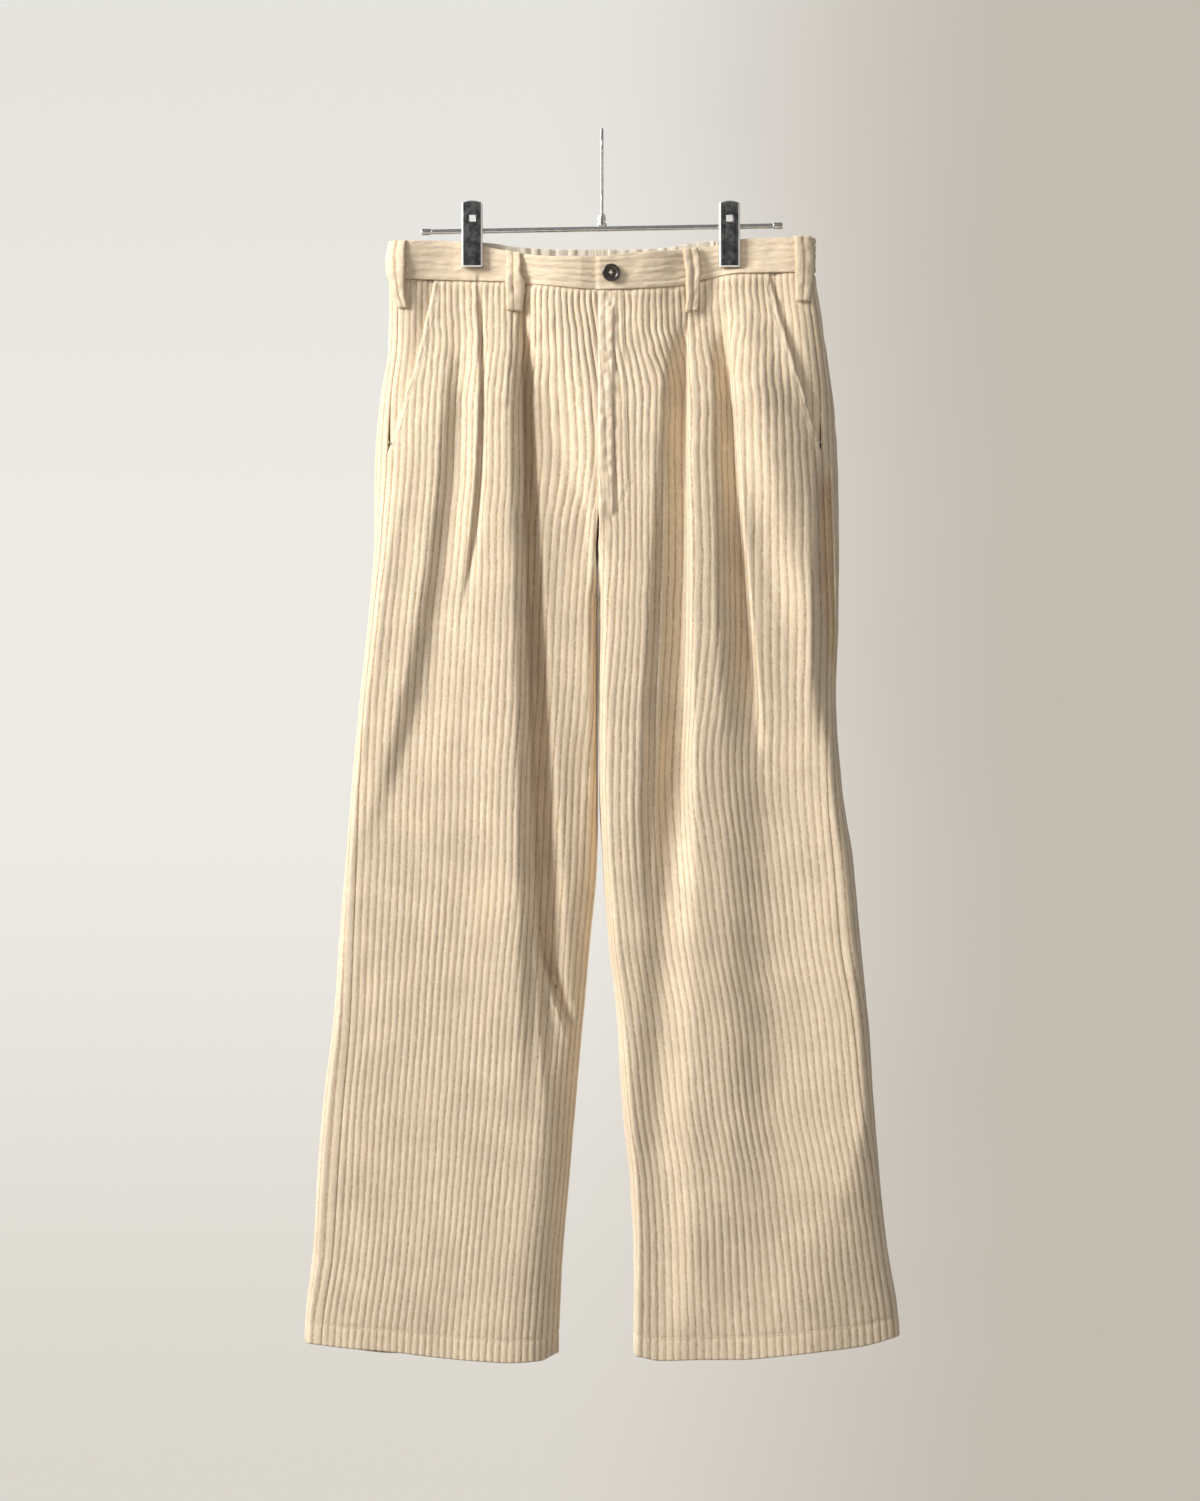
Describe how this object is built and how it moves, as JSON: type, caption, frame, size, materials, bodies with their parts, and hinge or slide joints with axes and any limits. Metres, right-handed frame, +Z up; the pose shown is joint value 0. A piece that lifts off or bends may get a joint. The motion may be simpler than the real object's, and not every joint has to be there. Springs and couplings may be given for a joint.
{
  "type": "corduroy trousers on a clip hanger",
  "caption": "Pleated wide-leg corduroy trousers with an elastic back waist, hung flat by the waistband from a wire clip hanger.",
  "frame": {"origin": "underside of the hook's crown, where the hanger rests on its rail", "axes": "+Z up, -Y towards the front of the garment, +X towards the wearer's left side; the hanger's bar lies along X"},
  "size_m": [0.5547, 0.0865, 1.1448],
  "materials": {
    "corduroy": "cream wide-wale cotton corduroy, brushed pile with a soft sheen",
    "cotton_facing": "pale plain-weave cotton, gathered on elastic",
    "chrome": "bright chrome plate",
    "horn_button": "dark brown-black horn-like resin, satin"
  },
  "bodies": {
    "root": {"front_right": "corduroy", "front_left": "corduroy", "back_right": "corduroy", "back_left": "corduroy", "pocket_facing_right": "corduroy", "pocket_facing_left": "corduroy", "waistband_front_right": "corduroy", "waistband_front_left": "corduroy", "waistband_back": "corduroy", "waistband_back_facing": "cotton_facing", "belt_loop_side_right": "corduroy", "belt_loop_front_right": "corduroy", "belt_loop_front_left": "corduroy", "belt_loop_side_left": "corduroy", "belt_loop_back": "corduroy", "button": "horn_button", "hanger_bar": "chrome", "hanger_cap_right": "chrome", "hanger_cap_left": "chrome", "hanger_ferrule": "chrome", "hanger_hook": "chrome", "clip_front_right": "chrome", "clip_back_right": "chrome", "clip_front_left": "chrome", "clip_back_left": "chrome"}
  },
  "joints": []
}
